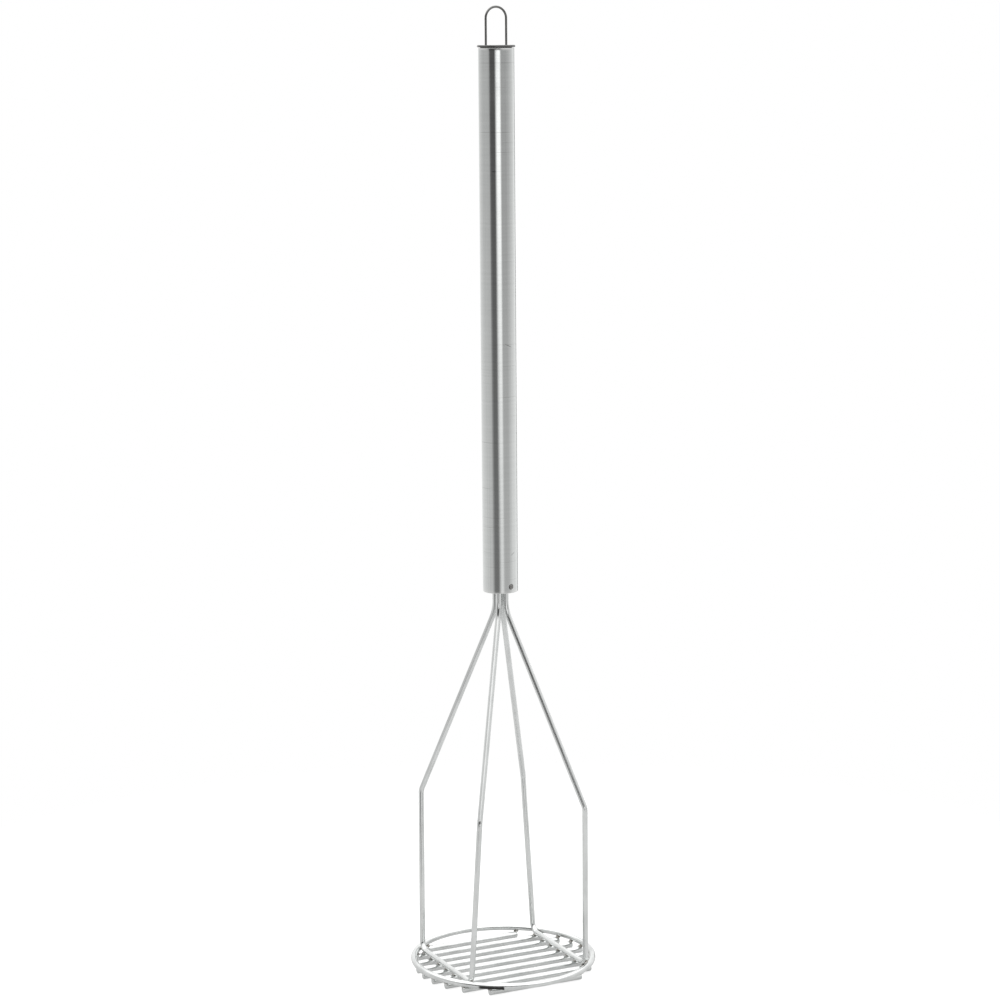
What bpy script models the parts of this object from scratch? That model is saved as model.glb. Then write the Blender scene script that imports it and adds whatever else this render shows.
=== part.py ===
"""Long-handled potato masher in stainless steel.

A round grid of bars hangs under a wire ring.  Two bent wire frames stand on the grid, and their
four ends run up side by side into the foot of a tubular handle, which a cap and a hanging loop
close at the top.

Units are metres and +Z is up.  The origin is the middle of the grid's underside.  The bars lie
along X, and the foot of each wire frame lies along Y.
"""

import math

import bmesh
import bpy
from mathutils import Matrix, Vector

# Driving dimensions
OVERALL_HEIGHT = 0.610  # underside of the grid to the top of the hanging loop
CLEARANCE = 0.0003  # gap left wherever two pieces touch or are welded
FACET_ALLOWANCE = 0.0001  # how far the facets of two bends may come nearer than true curves

TUBE_DIAMETER = 0.0222
TUBE_WALL = 0.0012
TUBE_LENGTH = 0.3376
TUBE_EDGE = 0.0003  # chamfer on the tube's cut ends

CAP_THICKNESS = 0.0014
CAP_RIM = 0.0006  # how far the cap stands out past the tube
CAP_SKIRT_LENGTH = 0.014
CAP_SKIRT_WALL = 0.0010
CAP_EDGE = 0.0004

LOOP_WIRE = 0.0014
LOOP_HEIGHT = 0.0237  # above the cap
LOOP_INSET = 0.0010  # gap between the loop's legs and the cap's skirt
LOOP_HOOK_DROP = 0.0018  # cap's underside to the centre of the hooked ends
LOOP_HOOK_BEND = 0.0014
LOOP_HOOK_GAP = 0.0050  # between the two hooked ends

BUSH_LENGTH = 0.0100
BUSH_EDGE = 0.0004

PIN_DIAMETER = 0.0028
PIN_HEIGHT = 0.0040  # above the tube's lower end
PIN_PROUD = 0.0003
PIN_EDGE = 0.0002
PIN_WEB = 0.0015  # metal left between the end of a pin and the bush's bore
PIN_TURN = math.radians(12)  # about Z, from the Y axis

LEG_WIRE = 0.0035
LEG_TOP_PROUD = 0.0010  # wire ends above the bush
BUNDLE_GAP = 0.0015  # between neighbouring wires where they enter the tube
SPREAD_DROP = 0.0125  # tube's lower end to the point where the wires part
SPREAD_BEND = 0.030
KNEE_HEIGHT = 0.111
KNEE_INSET = 0.0035  # knee towards the handle, across the frame, seen from its foot
KNEE_FLARE = 0.0066  # knee outwards, along the frame, seen from its foot
KNEE_BEND = 0.008
FOOT_BEND = 0.006
FOOT_ANGLE = math.radians(42.6)  # direction of a foot from the X axis

RING_DIAMETER = 0.119  # outside
RING_WIRE = 0.0040

BAR_WIRE = 0.0042
BAR_COUNT = 9
BAR_SETBACK = 0.0005  # bar ends, inside the ring's centre line
OUTER_BAR_SETBACK = 0.0012  # the same for the first and the last bar
BAR_EDGE = 0.0003

# Facets of the round pieces
BAR_SIDES = 12
PIN_SIDES = 16
TURNED_STEPS = 48
RING_STEPS = 96
RING_SIDES = 12
WIRE_RESOLUTION = 3
BEND_STEP = math.radians(8)

# Places worked out from the driving dimensions
BAR_Z = BAR_WIRE / 2 * math.cos(math.pi / BAR_SIDES)
GRID_TOP = BAR_Z + BAR_WIRE / 2 + CLEARANCE
RING_Z = GRID_TOP + RING_WIRE / 2
CHORD_Z = GRID_TOP + LEG_WIRE / 2
RING_RADIUS = (RING_DIAMETER - RING_WIRE) / 2
BAR_PITCH = 2 * RING_RADIUS / (BAR_COUNT + 1)

CAP_TOP = OVERALL_HEIGHT - LOOP_HEIGHT
CAP_UNDERSIDE = CAP_TOP - CAP_THICKNESS
TUBE_TOP = CAP_UNDERSIDE - CLEARANCE
TUBE_BOTTOM = TUBE_TOP - TUBE_LENGTH
TUBE_RADIUS = TUBE_DIAMETER / 2
BORE_RADIUS = TUBE_RADIUS - TUBE_WALL
SKIRT_RADIUS = BORE_RADIUS - CLEARANCE
SKIRT_INSIDE = SKIRT_RADIUS - CAP_SKIRT_WALL
LOOP_HALF_WIDTH = SKIRT_INSIDE - LOOP_INSET - LOOP_WIRE / 2

BUSH_TOP = TUBE_BOTTOM + BUSH_LENGTH
BUNDLE_OFFSET = (LEG_WIRE + BUNDLE_GAP) / 2
BUSH_BORE_RADIUS = BUNDLE_OFFSET * math.sqrt(2) + LEG_WIRE / 2 + CLEARANCE
PIN_Z = TUBE_BOTTOM + PIN_HEIGHT
PIN_INNER_END = BUSH_BORE_RADIUS + PIN_WEB


def clear_scene():
    for thing in list(bpy.data.objects):
        bpy.data.objects.remove(thing, do_unlink=True)


def new_collection(name):
    group = bpy.data.collections.new(name)
    bpy.context.scene.collection.children.link(group)
    return group


def steel(name, shade, roughness):
    """A stainless steel finish: a slightly warm grey of one shade, fully metallic."""
    finish = bpy.data.materials.new(name)
    finish.use_nodes = True
    shader = finish.node_tree.nodes["Principled BSDF"]
    shader.inputs["Base Color"].default_value = (shade, shade * 0.995, shade * 0.97, 1.0)
    shader.inputs["Metallic"].default_value = 1.0
    shader.inputs["Roughness"].default_value = roughness
    finish.diffuse_color = (shade, shade, shade, 1.0)
    return finish


def add_piece(name, data, finish):
    """Put a mesh or curve into the masher's collection as one named piece."""
    piece = bpy.data.objects.new(name, data)
    MASHER.objects.link(piece)
    piece.parent = ROOT
    data.materials.append(finish)
    return piece


def add_bevel(piece, width):
    bevel = piece.modifiers.new("edge", "BEVEL")
    bevel.width = width
    bevel.segments = 1
    bevel.limit_method = "ANGLE"
    bevel.angle_limit = math.radians(50)
    return bevel


def cylinder_mesh(name, radius, depth, sides, turn):
    """A closed cylinder about its own Z axis, turned into place by the rotation matrix."""
    shape = bmesh.new()
    bmesh.ops.create_cone(
        shape, cap_ends=True, segments=sides, radius1=radius, radius2=radius, depth=depth, matrix=turn
    )
    mesh = bpy.data.meshes.new(name)
    shape.to_mesh(mesh)
    shape.free()
    mesh.shade_smooth()
    mesh.set_sharp_from_angle(angle=math.radians(40))
    return mesh


def turned_piece(name, outline, closed, finish):
    """Turn an outline of (radius, height) points about Z; it runs down the outside from the top."""
    mesh = bpy.data.meshes.new(name)
    points = [(radius, 0.0, height) for radius, height in outline]
    edges = [(index, index + 1) for index in range(len(points) - 1)]
    if closed:
        edges.append((len(points) - 1, 0))
    mesh.from_pydata(points, edges, [])
    piece = add_piece(name, mesh, finish)
    screw = piece.modifiers.new("turn", "SCREW")
    screw.steps = TURNED_STEPS
    screw.render_steps = TURNED_STEPS
    screw.use_merge_vertices = True
    screw.merge_threshold = 0.00001
    screw.use_smooth_shade = True
    return piece


def cut(piece, cutter):
    boolean = piece.modifiers.new("cut_" + cutter.name, "BOOLEAN")
    boolean.operation = "DIFFERENCE"
    boolean.solver = "EXACT"
    boolean.object = cutter


def add_cutter(name, mesh, place):
    cutter = bpy.data.objects.new(name, mesh)
    CUTTERS.objects.link(cutter)
    cutter.location = place
    cutter.hide_render = True
    cutter.display_type = "WIRE"
    return cutter


def rounded_corner(before, corner, after, radius):
    """Points of the arc that rounds one corner of a path, from one tangent point to the other."""
    to_before = (before - corner).normalized()
    to_after = (after - corner).normalized()
    half_angle = to_before.angle(to_after) / 2
    centre = corner + (to_before + to_after).normalized() * (radius / math.sin(half_angle))
    tangent = radius / math.tan(half_angle)
    start = corner + to_before * tangent - centre
    end = corner + to_after * tangent - centre
    sweep = start.angle(end)
    steps = max(2, math.ceil(sweep / BEND_STEP))
    axis = start.cross(end)
    return [centre + Matrix.Rotation(sweep * step / steps, 3, axis) @ start for step in range(steps + 1)]


def wire_path(corners, radii):
    """Points along a bent wire: straight runs between the corners, which are rounded in turn."""
    points = [corners[0]]
    for index, radius in enumerate(radii, start=1):
        arc = rounded_corner(points[-1], corners[index], corners[index + 1], radius)
        points.extend(arc)
    points.append(corners[-1])
    kept = [points[0]]
    for point in points[1:]:
        if (point - kept[-1]).length > CLEARANCE / 10:
            kept.append(point)
    return kept


def bent_wire(name, corners, radii, diameter, finish):
    """A round wire with flat ends, bent at each inner corner."""
    curve = bpy.data.curves.new(name, "CURVE")
    curve.dimensions = "3D"
    curve.bevel_depth = diameter / 2
    curve.bevel_resolution = WIRE_RESOLUTION
    curve.use_fill_caps = True
    path = wire_path(corners, radii)
    spline = curve.splines.new("POLY")
    spline.points.add(len(path) - 1)
    for place, point in zip(spline.points, path):
        place.co = (*point, 1.0)
    return add_piece(name, curve, finish)


def pin_cutters():
    """Two radial holes, one on each side, through the tube and part of the way into the bush."""
    radius = PIN_DIAMETER / 2 + CLEARANCE
    inner = PIN_INNER_END - CLEARANCE
    outer = TUBE_RADIUS + PIN_DIAMETER
    holes = []
    for name, turn in pin_directions():
        outwards = Matrix.Rotation(turn, 3, "Z") @ Vector((0, -1, 0))
        lie = Matrix.Rotation(turn, 4, "Z") @ Matrix.Rotation(math.pi / 2, 4, "X")
        mesh = cylinder_mesh(name + "_hole", radius, outer - inner, PIN_SIDES, lie)
        place = outwards * (outer + inner) / 2 + Vector((0, 0, PIN_Z))
        holes.append(add_cutter(name + "_hole", mesh, place))
    return holes


def pin_directions():
    """Name and turn about Z of each pin, counted from the -Y direction."""
    return [("cross_pin_front", PIN_TURN), ("cross_pin_back", PIN_TURN + math.pi)]


def make_tube(finish, holes):
    """Straight tube with a chamfer on each cut end and a hole for each pin."""
    outer, inner, edge = TUBE_RADIUS, BORE_RADIUS, TUBE_EDGE
    outline = [
        (inner + edge, TUBE_TOP),
        (outer - edge, TUBE_TOP),
        (outer, TUBE_TOP - edge),
        (outer, TUBE_BOTTOM + edge),
        (outer - edge, TUBE_BOTTOM),
        (inner + edge, TUBE_BOTTOM),
        (inner, TUBE_BOTTOM + edge),
        (inner, TUBE_TOP - edge),
    ]
    tube = turned_piece("handle_tube", outline, True, finish)
    for hole in holes:
        cut(tube, hole)
    return tube


def make_cap(finish):
    """Pressed cap: a flat top on the tube's end and a skirt inside it, with two holes for the loop."""
    flange = TUBE_RADIUS + CAP_RIM
    skirt_end = CAP_UNDERSIDE - CAP_SKIRT_LENGTH
    outline = [
        (0.0, CAP_TOP),
        (flange - CAP_EDGE, CAP_TOP),
        (flange, CAP_TOP - CAP_EDGE),
        (flange, CAP_UNDERSIDE + CAP_EDGE),
        (flange - CAP_EDGE, CAP_UNDERSIDE),
        (SKIRT_RADIUS, CAP_UNDERSIDE),
        (SKIRT_RADIUS, skirt_end),
        (SKIRT_INSIDE, skirt_end),
        (SKIRT_INSIDE, CAP_UNDERSIDE),
        (0.0, CAP_UNDERSIDE),
    ]
    cap = turned_piece("top_cap", outline, False, finish)
    hole_radius = LOOP_WIRE / 2 + CLEARANCE
    middle = (CAP_TOP + CAP_UNDERSIDE) / 2
    for name, side in (("loop_hole_left", -1), ("loop_hole_right", 1)):
        mesh = cylinder_mesh(name, hole_radius, 3 * CAP_THICKNESS, PIN_SIDES, Matrix.Identity(4))
        cut(cap, add_cutter(name, mesh, Vector((side * LOOP_HALF_WIDTH, 0, middle))))
    return cap


def make_hang_loop(finish):
    """Wire bow with two legs through the cap, whose ends are hooked in under it."""
    hook_z = CAP_UNDERSIDE - LOOP_HOOK_DROP
    crown_z = OVERALL_HEIGHT - LOOP_WIRE / 2
    half, end = LOOP_HALF_WIDTH, LOOP_HOOK_GAP / 2
    corners = [
        Vector((-end, 0, hook_z)),
        Vector((-half, 0, hook_z)),
        Vector((-half, 0, crown_z)),
        Vector((half, 0, crown_z)),
        Vector((half, 0, hook_z)),
        Vector((end, 0, hook_z)),
    ]
    radii = [LOOP_HOOK_BEND, half, half, LOOP_HOOK_BEND]
    return bent_wire("hang_loop", corners, radii, LOOP_WIRE, finish)


def make_bush(finish, holes):
    """Turned bush in the foot of the tube, bored for the four wire ends."""
    outer, inner, edge = SKIRT_RADIUS, BUSH_BORE_RADIUS, BUSH_EDGE
    outline = [
        (inner + edge, BUSH_TOP),
        (outer - edge, BUSH_TOP),
        (outer, BUSH_TOP - edge),
        (outer, TUBE_BOTTOM + edge),
        (outer - edge, TUBE_BOTTOM),
        (inner + edge, TUBE_BOTTOM),
        (inner, TUBE_BOTTOM + edge),
        (inner, BUSH_TOP - edge),
    ]
    bush = turned_piece("end_bush", outline, True, finish)
    for hole in holes:
        cut(bush, hole)
    return bush


def make_pins(finish):
    """Two short pins that hold the bush in the tube, one on each side."""
    outer = TUBE_RADIUS + PIN_PROUD
    for name, turn in pin_directions():
        outwards = Matrix.Rotation(turn, 3, "Z") @ Vector((0, -1, 0))
        lie = Matrix.Rotation(turn, 4, "Z") @ Matrix.Rotation(math.pi / 2, 4, "X")
        mesh = cylinder_mesh(name, PIN_DIAMETER / 2, outer - PIN_INNER_END, PIN_SIDES, lie)
        pin = add_piece(name, mesh, finish)
        pin.location = outwards * (outer + PIN_INNER_END) / 2 + Vector((0, 0, PIN_Z))
        add_bevel(pin, PIN_EDGE)


def foot_inset():
    """How far inside the ring's centre line a foot stands, so that its bend just clears the ring.

    Each angle of the bend asks for an inset of its own, and the largest of them holds for all.
    """
    reach = (RING_WIRE + LEG_WIRE) / 2 + CLEARANCE + FACET_ALLOWANCE
    inset = 0.0
    for degrees in range(91):
        turn = math.radians(degrees)
        rise = FOOT_BEND * (1 - math.cos(turn)) + CHORD_Z - RING_Z
        if abs(rise) < reach:
            drawn_in = FOOT_BEND * (1 - math.sin(turn)) * math.sin(FOOT_ANGLE)
            inset = max(inset, math.sqrt(reach**2 - rise**2) - drawn_in)
    return inset


def make_leg_frame(name, side, finish):
    """One wire: down from the bush, out to a knee, down to a foot, across the grid and back up."""
    foot_radius = RING_RADIUS - foot_inset()
    foot_x = foot_radius * math.cos(FOOT_ANGLE)
    foot_y = foot_radius * math.sin(FOOT_ANGLE)
    half = [
        (BUNDLE_OFFSET, BUNDLE_OFFSET, BUSH_TOP + LEG_TOP_PROUD),
        (BUNDLE_OFFSET, BUNDLE_OFFSET, TUBE_BOTTOM - SPREAD_DROP),
        (foot_x - KNEE_INSET, foot_y + KNEE_FLARE, KNEE_HEIGHT),
        (foot_x, foot_y, CHORD_Z),
    ]
    bends = [SPREAD_BEND, KNEE_BEND, FOOT_BEND]
    down = [Vector((side * x, -y, z)) for x, y, z in half]
    up = [Vector((side * x, y, z)) for x, y, z in reversed(half)]
    return bent_wire(name, down + up, bends + bends[::-1], LEG_WIRE, finish)


def make_ring(finish):
    """Round wire ring, with its ends welded together."""
    bpy.ops.mesh.primitive_torus_add(
        major_segments=RING_STEPS,
        minor_segments=RING_SIDES,
        major_radius=RING_RADIUS,
        minor_radius=RING_WIRE / 2,
        location=(0, 0, RING_Z),
    )
    ring = bpy.context.object
    ring.name = "head_ring"
    ring.data.shade_smooth()
    ring.data.materials.append(finish)
    for group in list(ring.users_collection):
        group.objects.unlink(ring)
    MASHER.objects.link(ring)
    ring.parent = ROOT
    return ring


def make_bars(finish):
    """Evenly spaced bars under the ring, each lying on one of its flats."""
    flat_down = Matrix.Rotation(math.pi / BAR_SIDES, 4, "Z")
    lie = Matrix.Rotation(math.pi / 2, 4, "Y") @ flat_down
    for index in range(BAR_COUNT):
        across = (index - (BAR_COUNT - 1) / 2) * BAR_PITCH
        outermost = index in (0, BAR_COUNT - 1)
        reach = RING_RADIUS - (OUTER_BAR_SETBACK if outermost else BAR_SETBACK)
        length = 2 * math.sqrt(reach**2 - across**2)
        name = f"grid_bar_{index + 1}"
        bar = add_piece(name, cylinder_mesh(name, BAR_WIRE / 2, length, BAR_SIDES, lie), finish)
        bar.location = (0, across, BAR_Z)
        add_bevel(bar, BAR_EDGE)


clear_scene()
MASHER = new_collection("potato_masher")
CUTTERS = new_collection("cutters")
ROOT = bpy.data.objects.new("masher_root", None)
MASHER.objects.link(ROOT)

TUBE_STEEL = steel("tube_steel", 0.62, 0.32)
CAP_STEEL = steel("cap_steel", 0.58, 0.30)
WIRE_STEEL = steel("wire_steel", 0.66, 0.26)
GRID_STEEL = steel("grid_steel", 0.66, 0.24)
PIN_STEEL = steel("pin_steel", 0.35, 0.45)

PIN_HOLES = pin_cutters()
make_tube(TUBE_STEEL, PIN_HOLES)
make_cap(CAP_STEEL)
make_hang_loop(WIRE_STEEL)
make_bush(CAP_STEEL, PIN_HOLES)
make_pins(PIN_STEEL)
make_leg_frame("leg_frame_left", -1, WIRE_STEEL)
make_leg_frame("leg_frame_right", 1, WIRE_STEEL)
make_ring(GRID_STEEL)
make_bars(GRID_STEEL)
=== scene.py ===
import math

import bpy
import numpy as np
from mathutils import Matrix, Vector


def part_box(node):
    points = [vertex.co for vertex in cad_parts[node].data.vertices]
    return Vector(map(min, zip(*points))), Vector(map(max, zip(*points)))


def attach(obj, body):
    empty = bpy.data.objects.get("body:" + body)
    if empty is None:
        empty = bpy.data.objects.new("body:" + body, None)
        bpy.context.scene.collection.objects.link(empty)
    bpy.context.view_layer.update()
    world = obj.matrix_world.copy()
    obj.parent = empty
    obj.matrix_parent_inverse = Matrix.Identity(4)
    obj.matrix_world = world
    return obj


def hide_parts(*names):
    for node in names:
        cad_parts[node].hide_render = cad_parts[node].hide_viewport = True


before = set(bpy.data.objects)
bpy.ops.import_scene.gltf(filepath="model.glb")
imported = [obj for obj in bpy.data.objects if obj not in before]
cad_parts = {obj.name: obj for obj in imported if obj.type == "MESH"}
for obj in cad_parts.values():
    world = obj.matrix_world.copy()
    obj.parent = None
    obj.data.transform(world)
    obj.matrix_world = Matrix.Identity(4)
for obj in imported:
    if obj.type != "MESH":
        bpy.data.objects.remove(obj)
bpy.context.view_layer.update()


# Grid bars: nine round rods of bright drawn stainless steel, lying side by side under the ring. Each
# is sheared to length, so its ends are rolled over a little, and straightening leaves a faint bow.

BAR_COUNT = 9
BAR_SIDES = 28
BAR_END_ROUNDING = 0.0007
BAR_BOW = 0.00012  # sideways, at the middle of a bar
ROW_STEP = 0.0015  # between the rows of points along a straight wire
LEG_WIRE = 0.0035
WELD_HEAT_SPREAD = 0.0030
GRID_TONE = (0.70, 0.712, 0.706)
GRID_SHADE = (0.42, 0.43, 0.426)
WELD_TINT = (0.21, 0.19, 0.165)
# Painted dark reflection: a near-black tone laid on the ring's wire on one side of its butt weld.
PAINTED_REFLECTION_TONE = (0.035, 0.034, 0.033)

bar_boxes = [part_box(f"grid_bar_{number + 1}") for number in range(BAR_COUNT)]
ring_low, ring_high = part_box("head_ring")
ring_wire = ring_high.z - ring_low.z
ring_radius = ring_high.x - ring_wire / 2
ring_height = (ring_high.z + ring_low.z) / 2
foot_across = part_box("leg_frame_right")[1].x - LEG_WIRE / 2
seat_height = (bar_boxes[0][1].z + ring_low.z) / 2  # where bars meet the ring and the wire feet


def lengths_along(path):
    """Distance of each path point from the first: the running sum of the steps between them."""
    steps = np.linalg.norm(np.diff(path, axis=0), axis=1)
    return np.concatenate([[0.0], np.cumsum(steps)])


def cut_wire(path, radius, rounding, steps=7):
    """A wire's path with rows added for its rounded ends, and each row's radius and distance.

    A quarter circle rounds each end: with k from 0 to 90 degrees, a row lies rounding (1 - cos k)
    inside the end, and its radius is the wire's less rounding (1 - sin k).
    """
    along = lengths_along(path)
    turn = np.linspace(0, math.pi / 2, steps)
    inside = rounding * (1 - np.cos(turn))
    thick = radius - rounding * (1 - np.sin(turn))
    between = along[(along > rounding * 1.2) & (along < along[-1] - rounding * 1.2)]
    distance = np.concatenate([inside, between, along[-1] - inside[::-1]])
    thickness = np.concatenate([thick, np.full(len(between), radius), thick[::-1]])
    points = np.stack([np.interp(distance, along, path[:, axis]) for axis in range(3)], axis=1)
    return points, thickness, distance


def wire_surface(path, radius, across, sides, closed=False):
    """Grid of points of a round wire: one row for each path point, with `sides` points round it.

    Tangent t: the next path point less the one before, made unit length. First arm a: the direction
    `across`, made square to t and unit length. Second arm b = t x a. Point = path point +
    radius (a cos u + b sin u), with u going once round the wire.
    """
    tangent = np.roll(path, -1, 0) - np.roll(path, 1, 0) if closed else np.gradient(path, axis=0)
    tangent = tangent / np.linalg.norm(tangent, axis=1, keepdims=True)
    first = np.array(across) - tangent * (tangent @ np.array(across))[:, None]
    first = first / np.linalg.norm(first, axis=1, keepdims=True)
    second = np.cross(tangent, first)
    turn = np.linspace(0, 2 * math.pi, sides, endpoint=False)[None, :, None]
    reach = np.reshape(radius, (-1, 1, 1))
    return path[:, None] + reach * (first[:, None] * np.cos(turn) + second[:, None] * np.sin(turn))


def drawn_lay(distance, radius, sides):
    """Each grid point's place on the same wire pulled straight: across it twice, then along it."""
    turn = np.linspace(0, 2 * math.pi, sides, endpoint=False)[None, :]
    along = np.reshape(distance, (-1, 1))
    return np.stack(np.broadcast_arrays(radius * np.cos(turn), radius * np.sin(turn), along), axis=-1)


def weld_heat(grid, places, spread):
    """Heat a point has had from welding: the sum of exp(-(distance / spread)^2) over the weld places,
    and never over 1."""
    gap = np.linalg.norm(grid[..., None, :] - np.asarray(places), axis=-1)
    return np.minimum(np.exp(-((gap / spread) ** 2)).sum(-1), 1.0)


def skin(name, grid, closed=False, **marks):
    """Smooth mesh over a grid of points that is closed round each row.

    Quads join neighbouring points. Unless the last row joins the first, each end row is closed by a
    fan of triangles to its own middle. Marks are values at the points. The faces point outwards:
    they are turned over if the sum of corner . (corner x corner) / 6 over all triangles is negative.
    """
    rows, sides = grid.shape[:2]
    row = np.arange(rows if closed else rows - 1)[:, None]
    side = np.arange(sides)[None, :]
    beside, ahead = (side + 1) % sides, (row + 1) % rows
    quads = [row * sides + side, row * sides + beside, ahead * sides + beside, ahead * sides + side]
    quads = np.stack(np.broadcast_arrays(*quads), axis=-1).reshape(-1, 4)
    points = grid.reshape(-1, 3)
    values = {key: np.reshape(mark, (rows * sides, -1)) for key, mark in marks.items()}
    fans = np.zeros((0, 3), int)
    if not closed:
        points = np.concatenate([points, grid[[0, -1]].mean(1)])
        for key, mark in values.items():
            middles = [mark[:sides].mean(0), mark[-sides:].mean(0)]
            values[key] = np.concatenate([mark, middles])
        start, stop = np.arange(sides), (np.arange(sides) + 1) % sides
        last = (rows - 1) * sides
        first_fan = np.stack([stop, start, np.full(sides, rows * sides)], axis=-1)
        last_fan = np.stack([last + start, last + stop, np.full(sides, rows * sides + 1)], axis=-1)
        fans = np.concatenate([first_fan, last_fan])
    triangles = np.concatenate([quads[:, :3], quads[:, [0, 2, 3]], fans])
    a, b, c = (points[triangles[:, corner]] for corner in range(3))
    if np.einsum("ij,ij->i", a, np.cross(b, c)).sum() < 0:
        quads, fans = quads[:, ::-1], fans[:, ::-1]
    mesh = bpy.data.meshes.new(name)
    mesh.from_pydata(points.tolist(), [], quads.tolist() + fans.tolist())
    for key, mark in values.items():
        kind, slot = ("FLOAT_VECTOR", "vector") if mark.shape[1] == 3 else ("FLOAT", "value")
        mesh.attributes.new(key, kind, "POINT").data.foreach_set(slot, mark.ravel())
    mesh.shade_smooth()
    return mesh


def fit_piece(mesh, finish, slot, *nodes):
    """Hang a finished mesh on the masher's one body, in place of its plain nodes."""
    piece = bpy.data.objects.new(mesh.name, mesh)
    bpy.context.scene.collection.objects.link(piece)
    mesh.materials.append(finish)
    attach(piece, "root")
    if nodes:
        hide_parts(*nodes)
    return piece


def blank_finish(name):
    """New material, with its node tree and its shader."""
    finish = bpy.data.materials.new(name)
    finish.use_nodes = True
    return finish, finish.node_tree, finish.node_tree.nodes["Principled BSDF"]


def put(tree, kind, inputs=None, **settings):
    """Add a node; its inputs are numbers, colours, or other nodes' outputs, which are wired in."""
    node = tree.nodes.new("ShaderNode" + kind)
    for name, value in settings.items():
        setattr(node, name, value)
    for name, value in (inputs or {}).items():
        if isinstance(value, bpy.types.NodeSocket):
            tree.links.new(value, node.inputs[name])
        else:
            node.inputs[name].default_value = value
    return node


def grain(tree, place, per_metre, detail=3.0, roughness=0.55):
    """Noise with so many lumps to the metre in each direction; most values are 0.3 to 0.7."""
    scaled = put(tree, "Mapping", {"Vector": place, "Scale": per_metre})
    inputs = {"Vector": scaled.outputs[0], "Scale": 1.0, "Detail": detail, "Roughness": roughness}
    return put(tree, "TexNoise", inputs).outputs[0]


def spread(tree, value, low, high, to_low, to_high):
    """A value carried from one span to another, in proportion, and held inside it."""
    inputs = {"Value": value, "From Min": low, "From Max": high, "To Min": to_low, "To Max": to_high}
    return put(tree, "MapRange", inputs).outputs[0]


def blend(tree, amount, under, over):
    """One colour laid over another by an amount from 0 to 1."""
    mixer = put(tree, "Mix", {"Factor": amount}, data_type="RGBA")
    for socket, colour in ((6, under), (7, over)):
        if isinstance(colour, bpy.types.NodeSocket):
            tree.links.new(colour, mixer.inputs[socket])
        else:
            mixer.inputs[socket].default_value = (*colour, 1.0)
    return mixer.outputs[2]


def total(tree, *values):
    """Sum of several values."""
    result = values[0]
    for value in values[1:]:
        adder = put(tree, "Math", operation="ADD")
        for socket, part in enumerate((result, value)):
            if isinstance(part, bpy.types.NodeSocket):
                tree.links.new(part, adder.inputs[socket])
            else:
                adder.inputs[socket].default_value = part
        result = adder.outputs[0]
    return result


def bright_wire(name, tone, shade, smoothness):
    """Drawn and electropolished wire: die lines run along it, and welds leave it dull and tinted."""
    finish, tree, shader = blank_finish(name)
    lay = put(tree, "Attribute", attribute_name="lay").outputs["Vector"]
    heat = put(tree, "Attribute", attribute_name="heat").outputs["Fac"]
    # This mark says where a painted dark reflection is laid on the wire; it also makes the wire a little
    # rougher there.
    scorch = put(tree, "Attribute", attribute_name="scorch").outputs["Fac"]
    die_lines = grain(tree, lay, (6000, 6000, 35))
    mottle = grain(tree, lay, (220, 220, 90), detail=2.0)
    pits = grain(tree, lay, (2600, 2600, 2600), detail=4.0)
    body = blend(tree, spread(tree, mottle, 0.38, 0.72, 0.0, 0.45), tone, shade)
    lined = blend(tree, spread(tree, die_lines, 0.55, 0.75, 0.0, 0.5), body, shade)
    uneven_heat = total(tree, heat, spread(tree, pits, 0.3, 0.7, -0.12, 0.12))
    tint = spread(tree, uneven_heat, 0.25, 1.0, 0.0, 0.85)
    tinted = blend(tree, tint, lined, WELD_TINT)
    # Painted dark reflection laid over the tinted colour where that mark is set.
    tree.links.new(blend(tree, scorch, tinted, PAINTED_REFLECTION_TONE), shader.inputs["Base Color"])
    dull = total(
        tree,
        spread(tree, die_lines, 0.3, 0.7, smoothness - 0.03, smoothness + 0.05),
        spread(tree, mottle, 0.4, 0.7, 0.0, 0.05),
        spread(tree, heat, 0.1, 1.0, 0.0, 0.22),
        spread(tree, scorch, 0.0, 1.0, 0.0, 0.2),
    )
    tree.links.new(dull, shader.inputs["Roughness"])
    relief = total(tree, die_lines, spread(tree, pits, 0.3, 0.7, 0.0, 0.6))
    bump = put(tree, "Bump", {"Height": relief, "Strength": 0.6, "Distance": 0.000006})
    tree.links.new(bump.outputs[0], shader.inputs["Normal"])
    shader.inputs["Metallic"].default_value = 1.0
    return finish


def crossing_places():
    """Where the bars are welded: under each wire foot, and at each end, halfway to the ring's nearest
    point. One row (x, y, z) for each weld; the foot's own bends rise off the outermost bars."""
    middles = np.array([[high.y + low.y, high.x] for low, high in bar_boxes]) / [2, 1]
    ends = np.array([[s * half, y] for y, half in middles for s in (-1, 1)])
    nearest = ends / np.linalg.norm(ends, axis=1, keepdims=True) * ring_radius
    at_ring = (0.45 * ends + 0.55 * nearest) * [0.985, 1.0]
    at_feet = np.array([[s * foot_across, y] for y, _ in middles[1:-1] for s in (-1, 1)])
    places = np.concatenate([at_ring, at_feet])
    return np.column_stack([places, np.full(len(places), seat_height)]), len(at_ring)


weld_places, ring_weld_count = crossing_places()
grid_steel = bright_wire("grid_steel_bright", GRID_TONE, GRID_SHADE, 0.13)
chance = np.random.default_rng(7)

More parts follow.
